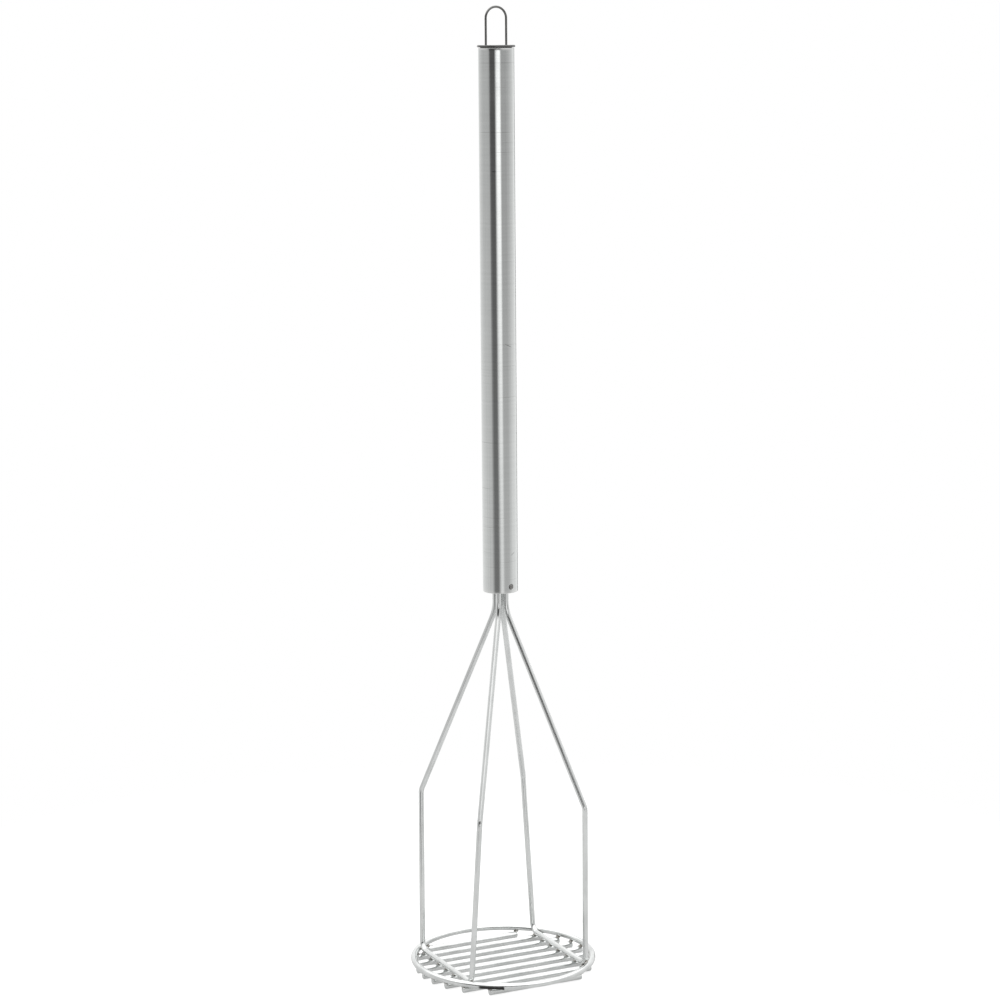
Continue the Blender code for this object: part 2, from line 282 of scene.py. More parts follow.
for number, (low, high) in enumerate(bar_boxes):
    radius = (high.z - low.z) / 2
    along = np.linspace(low.x, high.x, round((high.x - low.x) / ROW_STEP))
    bow = BAR_BOW * chance.uniform(-1, 1) * (1 - (along / high.x) ** 2)
    middle = (low.y + high.y) / 2 + bow
    path = np.stack([along, middle, np.full(len(along), (low.z + high.z) / 2)], axis=1)
    points, thickness, distance = cut_wire(path, radius, BAR_END_ROUNDING)
    grid = wire_surface(points, thickness, (0, 0, 1), BAR_SIDES)
    bar = skin(
        f"bar_{number + 1}",
        grid,
        lay=drawn_lay(distance + number, radius, BAR_SIDES),
        heat=weld_heat(grid, weld_places, WELD_HEAT_SPREAD),
    )
    fit_piece(bar, grid_steel, "grid_steel", f"grid_bar_{number + 1}")


# Head ring: one length of the same bright rod, rolled round and butt welded. The weld is dressed,
# but a low collar stays. On one side of it, the wire's lower outer face carries a painted dark reflection.

RING_ROWS = 420
RING_SIDES = 28
BUTT_TURN = math.radians(-25.2)  # round from -Y, towards +X
BUTT_COLLAR = 0.00042
BUTT_WIDTH = 0.0016
BUTT_SEAM = 0.00022  # groove round the middle of the weld
# Painted dark reflection on the ring: how far it runs back from the weld, and where and how wide it lies
# round the wire.
PAINTED_REFLECTION_LENGTH = 0.0165
PAINTED_REFLECTION_SIDE = math.radians(118)  # round the wire from its top, outwards
PAINTED_REFLECTION_WIDTH = math.radians(44)  # to either side of that

even_turns = np.linspace(-math.pi, math.pi, RING_ROWS, endpoint=False)
near_turns = np.linspace(-0.12, 0.12, 81)
turns = np.unique(np.concatenate([even_turns[np.abs(even_turns) > 0.121], near_turns]))
arc = turns * ring_radius
place = turns + BUTT_TURN
path = ring_radius * np.stack([np.sin(place), -np.cos(place), 0 * place], axis=1)
path[:, 2] = ring_height
collar = BUTT_COLLAR * np.exp(-((arc / BUTT_WIDTH) ** 2)) - BUTT_SEAM * np.exp(-((arc / 0.00035) ** 2))
grid = wire_surface(path, ring_wire / 2 + collar, (0, 0, 1), RING_SIDES, closed=True)
# Where the painted dark reflection lies: along the ring on one side of the weld, times round the wire's
# lower outer side.
run = np.clip((arc + PAINTED_REFLECTION_LENGTH) / 0.0012, 0, 1) * np.clip(-arc / 0.0006, 0, 1)
round_wire = np.linspace(0, 2 * math.pi, RING_SIDES, endpoint=False)
painted_band_across = np.clip((PAINTED_REFLECTION_WIDTH - np.abs(round_wire - PAINTED_REFLECTION_SIDE)) / 0.35 + 0.5, 0, 1)
ring = skin(
    "ring",
    grid,
    closed=True,
    lay=drawn_lay(arc, ring_wire / 2, RING_SIDES),
    heat=weld_heat(grid, weld_places[:ring_weld_count], WELD_HEAT_SPREAD),
    scorch=run[:, None] * painted_band_across[None, :],
)
fit_piece(ring, grid_steel, "grid_steel", "head_ring")


# Wire frames: two lengths of bright drawn wire, each bent to a leg, a foot across the grid and a
# second leg. The bends were made round a former.

BUNDLE_OFFSET = 0.0025  # each of the four wire ends from the handle's axis, both ways
WIRE_TOP = 0.2580
PARTING_HEIGHT = 0.2345
PARTING_BEND = 0.030
KNEE = (0.0368, 0.0437, 0.111)
KNEE_BEND = 0.008
FOOT_OUT = 0.0371
FOOT_BEND = 0.006
LEG_SIDES = 26
LEG_END_ROUNDING = 0.0004
BEND_ROWS = 14
LEG_TONE = (0.70, 0.712, 0.706)
LEG_SHADE = (0.515, 0.525, 0.52)


def bent_path(corners, radii, step):
    """Points along a wire bent at each inner corner, with straight runs between the bends.

    At a corner, with unit directions p and q back and on along the wire and h half the angle between
    them, the bend's centre is corner + (p + q) / |p + q| radius / sin h. Its arc goes from s to e,
    the spokes to the two tangent points, as (s sin((1 - k) w) + e sin(k w)) / sin w, where w is the
    angle between the spokes and k goes from 0 to 1.
    """
    corners = np.array(corners, float)
    stations = [corners[:1]]
    for before, corner, after, radius in zip(corners, corners[1:], corners[2:], radii):
        p, q = (side / np.linalg.norm(side) for side in (before - corner, after - corner))
        half = math.acos(np.clip(p @ q, -1, 1)) / 2
        centre = corner + (p + q) / np.linalg.norm(p + q) * radius / math.sin(half)
        run = radius / math.tan(half)
        s, e = corner + p * run - centre, corner + q * run - centre
        w = math.acos(np.clip(s @ e / radius**2, -1, 1))
        k = np.linspace(0, 1, BEND_ROWS)[:, None]
        stations.append(centre + (s * np.sin((1 - k) * w) + e * np.sin(k * w)) / math.sin(w))
    stations.append(corners[-1:])
    points = [stations[0]]
    for done, following in zip(stations, stations[1:]):
        gap = np.linalg.norm(following[0] - done[-1])
        share = np.linspace(0, 1, max(2, round(gap / step) + 1))[1:-1, None]
        points += [done[-1] * (1 - share) + following[0] * share, following]
    path = np.concatenate(points)
    return path[np.concatenate([[True], np.linalg.norm(np.diff(path, axis=0), axis=1) > 1e-6])]


wire_steel = bright_wire("wire_steel_bright", LEG_TONE, LEG_SHADE, 0.12)
foot_height = ring_low.z + LEG_WIRE / 2

for name, side in (("left", -1), ("right", 1)):
    half = [
        (BUNDLE_OFFSET, BUNDLE_OFFSET, WIRE_TOP),
        (BUNDLE_OFFSET, BUNDLE_OFFSET, PARTING_HEIGHT),
        KNEE,
        (foot_across, FOOT_OUT, foot_height),
    ]
    corners = [(side * x, -y, z) for x, y, z in half] + [(side * x, y, z) for x, y, z in reversed(half)]
    bends = [PARTING_BEND, KNEE_BEND, FOOT_BEND, FOOT_BEND, KNEE_BEND, PARTING_BEND]
    path = bent_path(corners, bends, ROW_STEP)
    points, thickness, distance = cut_wire(path, LEG_WIRE / 2, LEG_END_ROUNDING)
    grid = wire_surface(points, thickness, (1, 0, 0), LEG_SIDES)
    wire = skin(
        f"frame_{name}",
        grid,
        lay=drawn_lay(distance + 2 * side, LEG_WIRE / 2, LEG_SIDES),
        heat=weld_heat(grid, weld_places[ring_weld_count:], WELD_HEAT_SPREAD),
    )
    fit_piece(wire, wire_steel, "wire_steel", f"leg_frame_{name}")


# Welds: a squeezed-out lump of metal at every crossing of two wires, made by pressing and heating
# them together, and a larger one where each foot bends up beside the ring.

LUMP_ROWS = 13
LUMP_SIDES = 18
CROSSING_LUMP = (0.00150, 0.00165, 0.00062)  # half sizes
FOOT_LUMP = (0.00120, 0.00200, 0.00135)
FOOT_TURN = math.atan2(FOOT_OUT, foot_across)


def lumps(name, places, sizes, turns):
    """Closed, uneven balls at several places, as one mesh.

    On a unit ball, (sin v cos u, sin v sin u, cos v), the radius is 1 + 0.09 sin(3u + f) sin(2v + f)
    + 0.05 sin(5u - 2f), with a phase f of its own for each ball. It is then stretched to the ball's
    half sizes and turned about Z.
    """
    v = np.linspace(0.02, math.pi - 0.02, LUMP_ROWS)[None, :, None]
    u = np.linspace(0, 2 * math.pi, LUMP_SIDES, endpoint=False)[None, None, :]
    f = np.arange(len(places))[:, None, None] * 2.4
    r = 1 + 0.09 * np.sin(3 * u + f) * np.sin(2 * v + f) + 0.05 * np.sin(5 * u - 2 * f) * np.sin(v)
    level = r * np.sin(v)
    ball = np.stack(np.broadcast_arrays(level * np.cos(u), level * np.sin(u), r * np.cos(v)), -1)
    ball = ball * np.asarray(sizes)[:, None, None, :]
    cos, sin = (np.reshape(wave(turns), (-1, 1, 1)) for wave in (np.cos, np.sin))
    x, y = ball[..., 0] * cos - ball[..., 1] * sin, ball[..., 0] * sin + ball[..., 1] * cos
    ball = np.stack([x, y, ball[..., 2]], axis=-1) + np.asarray(places)[:, None, None, :]
    row = np.arange(LUMP_ROWS - 1)[:, None] * LUMP_SIDES
    side = np.arange(LUMP_SIDES)[None, :]
    beside = (side + 1) % LUMP_SIDES
    quads = np.stack([row + side, row + LUMP_SIDES + side, row + LUMP_SIDES + beside, row + beside], -1)
    top = np.stack([side[0], beside[0], np.full(LUMP_SIDES, LUMP_ROWS * LUMP_SIDES)], -1)
    last = (LUMP_ROWS - 1) * LUMP_SIDES
    under = np.full(LUMP_SIDES, LUMP_ROWS * LUMP_SIDES + 1)
    bottom = np.stack([last + beside[0], last + side[0], under], -1)
    flat = ball.reshape(len(places), -1, 3)
    flat = np.concatenate([flat, ball[:, [0]].mean(2), ball[:, [-1]].mean(2)], axis=1)
    start = np.arange(len(places))[:, None, None] * flat.shape[1]
    faces = (start + quads.reshape(1, -1, 4)).reshape(-1, 4).tolist()
    faces += (start + np.concatenate([top, bottom])[None]).reshape(-1, 3).tolist()
    mesh = bpy.data.meshes.new(name)
    mesh.from_pydata(flat.reshape(-1, 3).tolist(), [], faces)
    mesh.shade_smooth()
    return mesh


def weld_metal(name):
    """Bare weld metal: grey, slightly grainy, darker in its hollows."""
    finish, tree, shader = blank_finish(name)
    place = put(tree, "TexCoord").outputs["Object"]
    grit = grain(tree, place, (1800, 1800, 1800), detail=5.0)
    patches = grain(tree, place, (420, 420, 420), detail=2.0)
    hollow = spread(tree, patches, 0.35, 0.65, 0.0, 1.0)
    colour = blend(tree, hollow, (0.52, 0.51, 0.49), (0.24, 0.225, 0.20))
    tree.links.new(colour, shader.inputs["Base Color"])
    tree.links.new(spread(tree, grit, 0.3, 0.7, 0.26, 0.48), shader.inputs["Roughness"])
    bump = put(tree, "Bump", {"Height": grit, "Strength": 0.7, "Distance": 0.00006})
    tree.links.new(bump.outputs[0], shader.inputs["Normal"])
    shader.inputs["Metallic"].default_value = 1.0
    return finish


foot_radius = math.hypot(foot_across, FOOT_OUT)
beside_ring = (foot_radius + LEG_WIRE / 2 + ring_radius - ring_wire / 2) / 2 - 0.0004
foot_places = np.array(
    [
        (
            sx * beside_ring * math.cos(FOOT_TURN),
            sy * beside_ring * math.sin(FOOT_TURN),
            ring_height + 0.0004,
        )
        for sx in (-1, 1)
        for sy in (-1, 1)
    ]
)
foot_turns = [sx * sy * FOOT_TURN for sx in (-1, 1) for sy in (-1, 1)]
all_places = np.concatenate([weld_places, foot_places])
all_sizes = np.array([CROSSING_LUMP] * len(weld_places) + [FOOT_LUMP] * len(foot_places))
all_sizes = all_sizes * chance.uniform(0.88, 1.12, (len(all_sizes), 1))
all_turns = np.concatenate([np.zeros(len(weld_places)), foot_turns])
welds = lumps("grid_welds", all_places, all_sizes, all_turns)
weld_steel = weld_metal("weld_steel_bare")
fit_piece(welds, weld_steel, "grid_steel")


# End bush: a short turned steel bush inside the foot of the handle. The four wire ends stand in its
# bore, and braze run in between them leaves an uneven, slightly hollow face.

BUSH_BORE = 0.00559
BUSH_EDGE = 0.0005
TURNED_SIDES = 96
BRAZE_RADIUS = 0.00555
BRAZE_RISE = 0.0005


def turned_surface(outline, sides):
    """Grid of points of a turned piece: the outline's (radius, height) points carried once round Z."""
    turn = np.linspace(0, 2 * math.pi, sides, endpoint=False)[None, :]
    radius, height = (np.array(outline)[:, k][:, None] for k in (0, 1))
    return np.stack(np.broadcast_arrays(radius * np.cos(turn), radius * np.sin(turn), height), axis=-1)


def rounded_outline(corners, rounding, steps=6):
    """Closed outline of (radius, height) corners, square to each other, each rounded by a quarter
    circle: corner + rounding (back (1 - sin k) + on (1 - cos k)), with back and on the unit
    directions to the neighbouring corners and k from 0 to 90 degrees."""
    corners = np.array(corners, float)
    back = np.roll(corners, 1, 0) - corners
    on = np.roll(corners, -1, 0) - corners
    back, on = (way / np.linalg.norm(way, axis=1, keepdims=True) for way in (back, on))
    k = np.linspace(0, math.pi / 2, steps)[None, :, None]
    arcs = corners[:, None] + rounding * (back[:, None] * (1 - np.sin(k)) + on[:, None] * (1 - np.cos(k)))
    return arcs.reshape(-1, 2)


def turned_steel(name, tone, shade, dullness, edge=None):
    """Lathe-turned or pressed steel: fine rings round the axis, and smudges. A darker outer edge, partly
    the sheared edge's own tone and partly painted shade, is given as the radius where it starts, and its
    tone."""
    finish, tree, shader = blank_finish(name)
    place = put(tree, "TexCoord").outputs["Object"]
    parts = put(tree, "SeparateXYZ", {"Vector": place})
    flat = put(tree, "CombineXYZ", {"X": parts.outputs[0], "Y": parts.outputs[1]})
    radius = put(tree, "VectorMath", {0: flat.outputs[0]}, operation="LENGTH").outputs["Value"]
    rings = put(tree, "CombineXYZ", {"X": radius, "Z": parts.outputs[2]}).outputs[0]
    fine = grain(tree, rings, (5200, 1, 5200))
    smudge = grain(tree, place, (160, 160, 160), detail=3.0)
    colour = blend(tree, spread(tree, smudge, 0.4, 0.7, 0.0, 0.6), tone, shade)
    colour = blend(tree, spread(tree, fine, 0.5, 0.75, 0.0, 0.35), colour, shade)
    # Painted shade: the edge's tone is laid over the steel outside the given radius.
    if edge:
        colour = blend(tree, spread(tree, radius, edge[0], edge[0] + 0.0002, 0.0, 1.0), colour, edge[1])
    tree.links.new(colour, shader.inputs["Base Color"])
    dull = total(
        tree,
        spread(tree, fine, 0.3, 0.7, dullness - 0.04, dullness + 0.06),
        spread(tree, smudge, 0.4, 0.7, 0, 0.05),
    )
    tree.links.new(dull, shader.inputs["Roughness"])
    bump = put(tree, "Bump", {"Height": fine, "Strength": 0.6, "Distance": 0.000008})
    tree.links.new(bump.outputs[0], shader.inputs["Normal"])
    shader.inputs["Metallic"].default_value = 1.0
    return finish


cap_steel = turned_steel("cap_steel_satin", (0.60, 0.60, 0.585), (0.44, 0.44, 0.43), 0.27)
bush_low, bush_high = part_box("end_bush")
outline = rounded_outline(
    [
        (BUSH_BORE, bush_high.z),
        (bush_high.x, bush_high.z),
        (bush_high.x, bush_low.z),
        (BUSH_BORE, bush_low.z),
    ],
    BUSH_EDGE,
)
bush = skin("bush", turned_surface(outline, TURNED_SIDES), closed=True)
fit_piece(bush, cap_steel, "cap_steel", "end_bush")

reach = np.linspace(0.03, 1, 14)
turn = np.linspace(0, 2 * math.pi, 72, endpoint=False)
ripple = 0.35 + 0.65 * reach[:, None] ** 2 + 0.10 * np.sin(4 * turn + 0.4)[None, :] * reach[:, None]
ripple = ripple + 0.05 * np.sin(7 * turn)[None, :] * reach[:, None]
face = turned_surface(np.stack([BRAZE_RADIUS * reach, 0 * reach + bush_low.z + 0.0009], 1), 72)
face[..., 2] -= BRAZE_RISE * ripple
back = turned_surface(np.stack([BRAZE_RADIUS * reach[::-1], 0 * reach + bush_low.z + 0.0030], 1), 72)
braze = skin("bundle_braze", np.concatenate([face, back]))
fit_piece(braze, weld_steel, "cap_steel")


# Handle: 22 mm stainless tube with a 1.2 mm wall, cut to length and deburred. It was polished against
# a belt while it turned, so the finest lines run round it. Two holes near its foot take the pins.

TUBE_WALL = 0.0012
TUBE_EDGE = 0.00035
TUBE_SIDES = 144
TUBE_STEP = 0.004
PIN_TURN = math.radians(12)  # round from -Y, towards +X; the second pin is opposite
PIN_RADIUS = 0.0014
HOLE_RADIUS = 0.0017
HOLE_DEPTH = 0.0005
TUBE_TONE = (0.612, 0.625, 0.618)
TUBE_SHADE = (0.48, 0.49, 0.485)
TUBE_MARKS = [  # knocks and scratches: degrees round from -Y, height, half sizes, tilt in degrees
    (-36, 0.5100, (0.0016, 0.0020, 0.00030), 3),
    (8, 0.4030, (0.0034, 0.0020, 0.00022), 24),
    (20, 0.2720, (0.0024, 0.0015, 0.00020), -35),
    (150, 0.3650, (0.0040, 0.0020, 0.00022), -18),
]


def wear_mark(tree, place, turn, height, half_sizes, tilt):
    """1 inside a thin slanted spot on the tube's outside, and 0 away from it."""
    centre = (tube_radius * math.sin(turn), -tube_radius * math.cos(turn), height)
    inputs = {"Vector": place, "Location": centre, "Rotation": (0, tilt, turn), "Scale": half_sizes}
    inside = put(tree, "Mapping", inputs, vector_type="TEXTURE").outputs[0]
    distance = put(tree, "VectorMath", {0: inside}, operation="LENGTH").outputs["Value"]
    return spread(tree, distance, 0.5, 1.0, 1.0, 0.0)


def brushed_tube(name, low, high):
    """Belt-polished tube: fine lines round it, a few coarser ones, smudges, and brighter worn ends."""
    finish, tree, shader = blank_finish(name)
    place = put(tree, "TexCoord").outputs["Object"]
    height = put(tree, "SeparateXYZ", {"Vector": place}).outputs[2]
    fine = grain(tree, place, (30, 30, 5200), detail=4.0)
    coarse = grain(tree, place, (14, 14, 620), detail=3.0)
    length_lines = grain(tree, place, (900, 900, 6), detail=3.0)
    smudge = grain(tree, place, (45, 45, 28), detail=4.0, roughness=0.6)
    scratch = grain(tree, place, (16, 16, 1500), detail=1.0)
    colour = blend(tree, spread(tree, coarse, 0.35, 0.7, 0.0, 0.26), TUBE_TONE, TUBE_SHADE)
    colour = blend(tree, spread(tree, length_lines, 0.5, 0.72, 0.0, 0.30), colour, TUBE_SHADE)
    colour = blend(tree, spread(tree, scratch, 0.70, 0.74, 0.0, 0.55), colour, (0.30, 0.30, 0.29))
    low_wear = spread(tree, height, low, low + 0.003, 0.6, 0.0)
    high_wear = spread(tree, height, high - 0.002, high, 0.0, 0.5)
    colour = blend(tree, total(tree, low_wear, high_wear), colour, (0.70, 0.70, 0.69))
    for turn, mark_height, half_sizes, tilt in TUBE_MARKS:
        mark = wear_mark(tree, place, math.radians(turn), mark_height, half_sizes, math.radians(tilt))
        colour = blend(tree, mark, colour, (0.22, 0.22, 0.215))
    tree.links.new(colour, shader.inputs["Base Color"])
    dull = total(
        tree,
        spread(tree, fine, 0.3, 0.7, 0.075, 0.115),
        spread(tree, smudge, 0.45, 0.7, 0.0, 0.06),
        spread(tree, length_lines, 0.45, 0.7, 0.0, 0.03),
    )
    tree.links.new(dull, shader.inputs["Roughness"])
    relief = total(tree, fine, spread(tree, coarse, 0.3, 0.7, 0.0, 1.4))
    bump = put(tree, "Bump", {"Height": relief, "Strength": 0.5, "Distance": 0.000006})
    tree.links.new(bump.outputs[0], shader.inputs["Normal"])
    shader.inputs["Metallic"].default_value = 1.0
    shader.inputs["Anisotropic"].default_value = 0.35
    shader.inputs["Anisotropic Rotation"].default_value = 0.25
    round_axis = put(tree, "Tangent", direction_type="RADIAL", axis="Z").outputs[0]
    tree.links.new(round_axis, shader.inputs["Tangent"])
    return finish


tube_low, tube_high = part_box("handle_tube")
pin_low, pin_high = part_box("cross_pin_front")
pin_height = (pin_low.z + pin_high.z) / 2
tube_radius = tube_high.x
corners = [
    (tube_radius, tube_high.z),
    (tube_radius, tube_low.z),
    (tube_radius - TUBE_WALL, tube_low.z),
    (tube_radius - TUBE_WALL, tube_high.z),
]
outline = rounded_outline(corners, TUBE_EDGE)
down = np.concatenate(
    [
        np.arange(tube_high.z - 0.002, pin_height + 0.003, -TUBE_STEP),
        np.linspace(pin_height + 0.0025, pin_height - 0.0025, 41),
    ]
)
wall = np.stack([np.full(len(down), tube_radius), down], axis=1)
outline = np.concatenate([outline[:6], wall, outline[6:]])
even = np.linspace(0, 2 * math.pi, TUBE_SIDES, endpoint=False)
pin_turns = PIN_TURN - math.pi / 2 + np.array([0, math.pi])
fine_turns = (pin_turns[:, None] + np.linspace(-0.24, 0.24, 45)[None, :]).ravel()
turns = np.unique(np.round(np.concatenate([even, fine_turns]) % (2 * math.pi), 5))
radius, height = outline[:, :1], outline[:, 1:]
off_pin = np.abs((turns[None, :] - pin_turns[:, None] + math.pi) % (2 * math.pi) - math.pi).min(0)
from_pin = np.hypot(off_pin[None, :] * tube_radius, height - pin_height)
hollow = HOLE_DEPTH * np.clip((HOLE_RADIUS - from_pin) / 0.0002 + 0.5, 0, 1)
radius = radius - hollow * (radius > tube_radius - 1e-6)
grid = np.stack(np.broadcast_arrays(radius * np.cos(turns), radius * np.sin(turns), height), axis=-1)
tube = skin("tube", grid, closed=True)
fit_piece(tube, brushed_tube("tube_steel_polished", tube_low.z, tube_high.z), "tube_steel", "handle_tube")


# Cross pins: two short pins of plain dark steel, one on each side, pressed through the tube into the
# bush. Each stands out by a hair, and its end is slightly crowned from the punch.

PIN_CROWN = 0.00025
PIN_SIDES = 40


def dull_pin(name):
    """Dark, unpolished steel with small pits."""
    finish, tree, shader = blank_finish(name)
    place = put(tree, "TexCoord").outputs["Object"]
    pits = grain(tree, place, (2400, 2400, 2400), detail=4.0)
    colour = blend(tree, spread(tree, pits, 0.4, 0.65, 0.0, 1.0), (0.30, 0.295, 0.285), (0.14, 0.135, 0.13))
    tree.links.new(colour, shader.inputs["Base Color"])
    tree.links.new(spread(tree, pits, 0.3, 0.7, 0.34, 0.52), shader.inputs["Roughness"])
    bump = put(tree, "Bump", {"Height": pits, "Strength": 0.6, "Distance": 0.00003})
    tree.links.new(bump.outputs[0], shader.inputs["Normal"])
    shader.inputs["Metallic"].default_value = 1.0
    return finish


pin_steel = dull_pin("pin_steel_dull")
pin_inside = BUSH_BORE + 0.0015
pin_outside = tube_radius + 0.0003
for name, turn in (("front", PIN_TURN), ("back", PIN_TURN + math.pi)):
    outwards = np.array([math.sin(turn), -math.cos(turn), 0.0])
    k = np.linspace(0, 1, 9)
    shank = np.linspace(pin_inside, pin_outside - PIN_CROWN, 12)
    crown = pin_outside - PIN_CROWN * (1 - np.sin(k * math.pi / 2))
    along = np.concatenate([shank[:-1], crown])
    thick = PIN_RADIUS * np.concatenate([np.ones(len(shank) - 1), np.cos(k * math.pi / 2) * 0.97 + 0.03])
    path = along[:, None] * outwards + np.array([0, 0, pin_height])
    pin = skin(f"pin_{name}", wire_surface(path, thick, (0, 0, 1), PIN_SIDES))
    fit_piece(pin, pin_steel, "pin_steel", f"cross_pin_{name}")


# Top cap: pressed from sheet, with a flat top that stands out just past the tube, a rounded rim, and a
# skirt that is a press fit inside. Two small holes let the hanging loop through.

CAP_SHEET = 0.0014
CAP_SKIRT_OUT = 0.0096
CAP_SKIRT_IN = 0.0086
CAP_RIM_ROUNDING = 0.00035
LOOP_WIRE = 0.0014
LOOP_COLLAR = 0.0005  # how far the sheet is drawn down round the loop's legs

cap_low, cap_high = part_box("top_cap")
loop_low, loop_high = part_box("hang_loop")
leg_across = 0.0069
rim, top, under = cap_high.x, cap_high.z, cap_high.z - CAP_SHEET
k = np.linspace(0, math.pi, 13)
edge_out = rim - CAP_RIM_ROUNDING * (1 - np.sin(k))
edge = np.stack([edge_out, (top + under) / 2 + CAP_SHEET / 2 * np.cos(k)], 1)
inside_legs = np.linspace(0.0002, leg_across - 0.0021, 8)
round_legs = np.linspace(leg_across - 0.002, leg_across + 0.002, 33)
flat = np.concatenate([inside_legs, round_legs, [leg_across + 0.0026, leg_across + 0.0033]])
outline = np.concatenate(
    [
        np.stack([flat, np.full(len(flat), top)], 1),
        edge,
        [
            (CAP_SKIRT_OUT, under),
            (CAP_SKIRT_OUT, cap_low.z),
            (CAP_SKIRT_IN, cap_low.z),
            (CAP_SKIRT_IN, under),
            (0.0002, under),
        ],
    ]
)
even = np.linspace(0, 2 * math.pi, 96, endpoint=False)
fine_turns = (np.array([[0.0], [math.pi]]) + np.linspace(-0.30, 0.30, 49)[None, :]).ravel()
turns = np.unique(np.round(np.concatenate([even, fine_turns]) % (2 * math.pi), 5))
radius, height = outline[:, :1], outline[:, 1:]
x, y = radius * np.cos(turns), radius * np.sin(turns)
from_leg = np.hypot(np.abs(x) - leg_across, y)
from_wire = np.clip(from_leg - LOOP_WIRE / 2, 0, 1)
sink = LOOP_COLLAR * np.exp(-((from_wire / 0.00035) ** 2)) * (height > top - 1e-6)
cap = skin("cap", np.stack([x, y, height - sink], axis=-1))
# Painted shade on the cap: the rounded rim is near black. This stands for the shade in the gap under it,
# laid over the sheared edge's own darker tone.
cap_rim_painted_shade = (rim - CAP_RIM_ROUNDING, (0.12, 0.12, 0.118))
cap_pressed = turned_steel("cap_steel_pressed", (0.50, 0.50, 0.49), (0.36, 0.36, 0.35), 0.20, cap_rim_painted_shade)
fit_piece(cap, cap_pressed, "cap_steel", "top_cap")


# Hanging loop: bright spring wire bent to a bow. Its two legs stand in the cap, and its ends are
# hooked inwards below it.

LOOP_HOOK = 0.0025
LOOP_HOOK_BEND = 0.0014
LOOP_SIDES = 22
LOOP_TONE = (0.17, 0.17, 0.165)
LOOP_SHADE = (0.09, 0.09, 0.088)

hook_height = cap_high.z - CAP_SHEET - 0.0018
crown = loop_high.z - LOOP_WIRE / 2
corners = [
    (-LOOP_HOOK, 0, hook_height),
    (-leg_across, 0, hook_height),
    (-leg_across, 0, crown),
    (leg_across, 0, crown),
    (leg_across, 0, hook_height),
    (LOOP_HOOK, 0, hook_height),
]
path = bent_path(corners, [LOOP_HOOK_BEND, leg_across, leg_across, LOOP_HOOK_BEND], 0.001)
points, thickness, distance = cut_wire(path, LOOP_WIRE / 2, 0.0003)
grid = wire_surface(points, thickness, (0, 1, 0), LOOP_SIDES)
loop = skin("loop", grid, lay=drawn_lay(distance, LOOP_WIRE / 2, LOOP_SIDES))
fit_piece(loop, bright_wire("wire_steel_spring", LOOP_TONE, LOOP_SHADE, 0.24), "wire_steel", "hang_loop")


# Floor: a pale matt disc that the masher stands on. It thins out towards its edge.

FLOOR_RADIUS = 0.50
FLOOR_FADE = 0.28  # where it starts to thin
FLOOR_GLOW = 0.40  # it is lit from below
FLOOR_EXTRA = 0.40  # seen by the camera only, so that it stays white

rings = np.linspace(0.02, 1, 24) * FLOOR_RADIUS
floor_grid = turned_surface(np.stack([rings, np.full(24, -0.0002)], 1), 96)
row, side = np.arange(23)[:, None] * 96, np.arange(96)[None, :]
beside = (side + 1) % 96
quads = np.stack([row + side, row + 96 + side, row + 96 + beside, row + beside], -1).reshape(-1, 4)
centre_fan = [[k, (k + 1) % 96, 24 * 96] for k in range(96)]
floor_mesh = bpy.data.meshes.new("floor")
floor_points = floor_grid.reshape(-1, 3).tolist() + [(0, 0, -0.0002)]
floor_mesh.from_pydata(floor_points, [], quads.tolist() + centre_fan)
floor = bpy.data.objects.new("floor", floor_mesh)
bpy.context.scene.collection.objects.link(floor)

finish, tree, shader = blank_finish("pale_floor")
place = put(tree, "TexCoord").outputs["Object"]
distance = put(tree, "VectorMath", {0: place}, operation="LENGTH").outputs["Value"]
solid = spread(tree, distance, FLOOR_FADE, FLOOR_RADIUS, 1.0, 0.0)
shader.inputs["Base Color"].default_value = (0.30, 0.30, 0.30, 1.0)
shader.inputs["Emission Color"].default_value = (1.0, 1.0, 1.0, 1.0)
seen = put(tree, "LightPath").outputs["Is Camera Ray"]
glow = spread(tree, seen, 0.0, 1.0, FLOOR_GLOW, FLOOR_GLOW + FLOOR_EXTRA)
tree.links.new(glow, shader.inputs["Emission Strength"])
shader.inputs["Roughness"].default_value = 0.9
shader.inputs["Specular IOR Level"].default_value = 0.0
tree.links.new(solid, shader.inputs["Alpha"])
floor_mesh.materials.append(finish)


# Light: a white studio round the masher, bright overhead, with a dark flag and a narrow bright window
# beside the camera and another dark flag behind, which draw the long bands on round steel.

VIEW_TURN = math.radians(-26)  # the camera's way round from -Y

world = bpy.data.worlds.new("studio")
bpy.context.scene.world = world
world.use_nodes = True
tree = world.node_tree
background = tree.nodes["Background"]
way = put(tree, "TexCoord").outputs["Generated"]
turned = put(tree, "VectorRotate", {"Vector": way, "Angle": -VIEW_TURN}, rotation_type="Z_AXIS").outputs[0]
parts = put(tree, "SeparateXYZ", {"Vector": turned})
backwards = put(tree, "Math", {0: parts.outputs[1], 1: -1.0}, operation="MULTIPLY").outputs[0]
angle = put(tree, "Math", {0: parts.outputs[0], 1: backwards}, operation="ARCTAN2").outputs[0]
angle = spread(tree, angle, -math.pi, math.pi, 0.0, 1.0)


def bands(stops):
    """Brightness at each angle in degrees round the masher: 0 is towards the camera, + is to its right."""
    ramp = put(tree, "ValToRGB", {"Fac": angle})
    places = ramp.color_ramp.elements
    while len(places) > 1:
        places.remove(places[-1])
    for number, (degrees, level) in enumerate(stops):
        stop = places[0] if number == 0 else places.new((degrees + 180) / 360)
        stop.position = (degrees + 180) / 360
        stop.color = (level / 2, level / 2, level / 2, 1.0)
    return put(tree, "Math", {0: ramp.outputs[0], 1: 2.0}, operation="MULTIPLY").outputs[0]


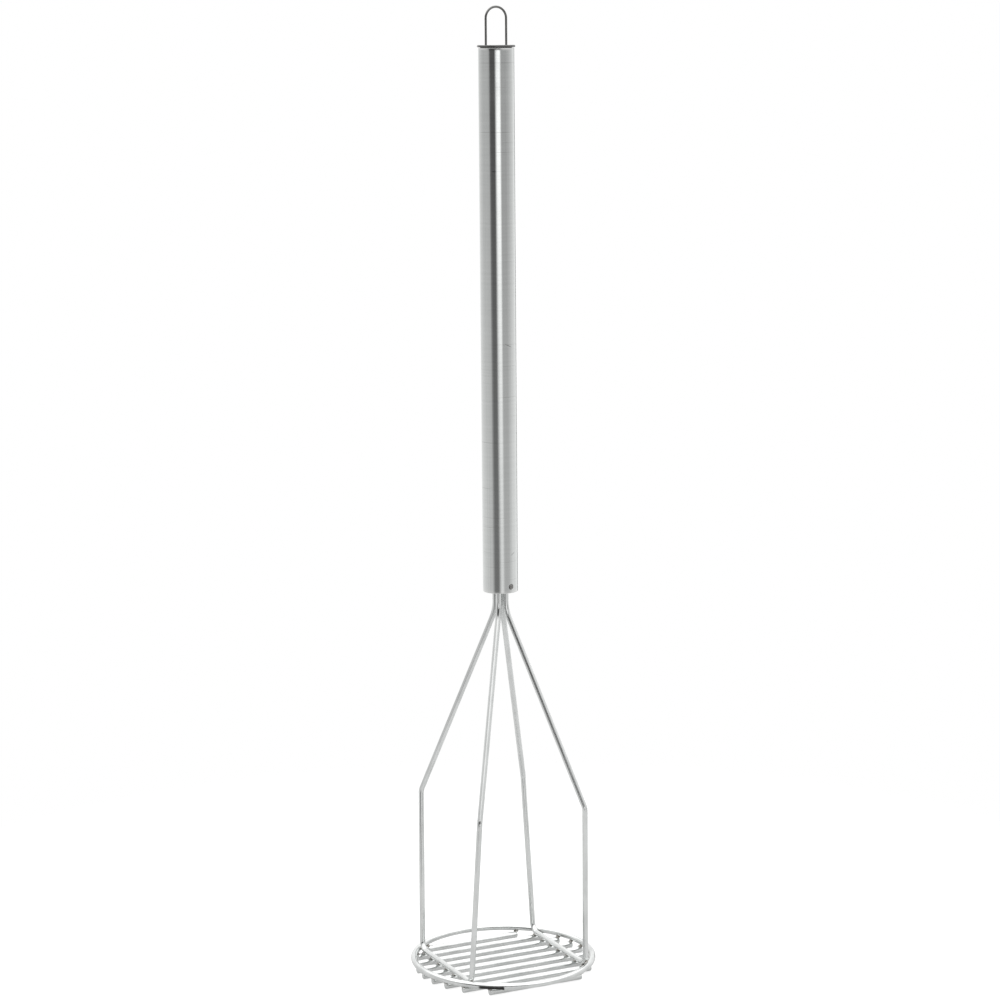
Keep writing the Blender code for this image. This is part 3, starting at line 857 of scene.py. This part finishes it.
SIDE_WALLS = 0.65
BACK_WALLS = 1.2
WINDOW = 1.8
DARK = 0.1
BEHIND = [(149, BACK_WALLS), (152, DARK), (161, DARK), (165, BACK_WALLS), (180, BACK_WALLS)]
EYE_LEVEL = [
    (-180, BACK_WALLS), (-100, SIDE_WALLS), (-50, 0.6), (-42, DARK), (-12, DARK), (2, WINDOW), (20, WINDOW),
    (29, 0.5), (60, 0.5), (85, SIDE_WALLS), (140, BACK_WALLS), *BEHIND,
]
LOW = [
    (-180, BACK_WALLS), (-90, 0.9), (-50, 0.75), (-32, 0.25), (-8, 0.25), (10, 1.0), (20, 1.0),
    (30, SIDE_WALLS), (60, SIDE_WALLS), (90, 1.0), *BEHIND,
]
FLAG = [
    (-180, 1.2), (-110, 1.0), (-70, 0.75), (-54, 0.55), (-44, 0.08), (20, 0.08), (33, 0.6), (46, 0.85),
    (80, 0.95), (110, 1.0), (180, 1.2),
]
ABOVE = [
    (-180, 1.3), (-120, 1.1), (-75, 0.85), (-55, 0.7), (-20, 0.95), (5, 1.25), (35, 1.1), (50, 1.3),
    (80, 1.3), (120, 1.2), (180, 1.3),
]
BELOW = 0.75
OVERHEAD = 1.9

rise = parts.outputs[2]
layers = [  # where each one takes over from the one before, in degrees above eye level
    (-30, -14, bands(LOW)),
    (-11, -1, bands(EYE_LEVEL)),
    (2, 5, bands(FLAG)),
    (21, 26, bands(ABOVE)),
    (30, 40, OVERHEAD),
]


def fade(amount, first, second):
    """A value that goes from the first to the second as the amount goes from 0 to 1."""
    return put(tree, "Mix", {0: amount, 2: first, 3: second}, data_type="FLOAT").outputs[0]


level = BELOW
for start, stop, layer in layers:
    share = spread(tree, rise, math.sin(math.radians(start)), math.sin(math.radians(stop)), 0.0, 1.0)
    level = fade(share, level, layer)
seen = put(tree, "LightPath").outputs["Is Camera Ray"]
level = fade(seen, level, 1.0)
tree.links.new(level, background.inputs["Strength"])
background.inputs["Color"].default_value = (1.0, 1.0, 1.0, 1.0)


# Camera: at the height of the hanging loop, looking slightly down, a little to the left of the feet.

CAMERA_DISTANCE = 1.707
CAMERA_HEIGHT = 0.600
CAMERA_SIDEWAYS = 0.0002
CAMERA_PITCH = math.radians(-9.81)
CAMERA_ROLL = math.radians(-0.454)

camera_data = bpy.data.cameras.new("camera")
camera_data.lens = 99.5
camera_data.sensor_width = 36.0
camera_data.clip_start = 0.05
camera = bpy.data.objects.new("camera", camera_data)
bpy.context.scene.collection.objects.link(camera)
bpy.context.scene.camera = camera
camera.location = (
    math.sin(VIEW_TURN) * CAMERA_DISTANCE + math.cos(VIEW_TURN) * CAMERA_SIDEWAYS,
    -math.cos(VIEW_TURN) * CAMERA_DISTANCE + math.sin(VIEW_TURN) * CAMERA_SIDEWAYS,
    CAMERA_HEIGHT,
)
facing = Matrix.Rotation(VIEW_TURN, 4, "Z") @ Matrix.Rotation(math.pi / 2 + CAMERA_PITCH, 4, "X")
camera.rotation_euler = (facing @ Matrix.Rotation(CAMERA_ROLL, 4, "Z")).to_euler()

bpy.context.scene.view_settings.view_transform = "Standard"
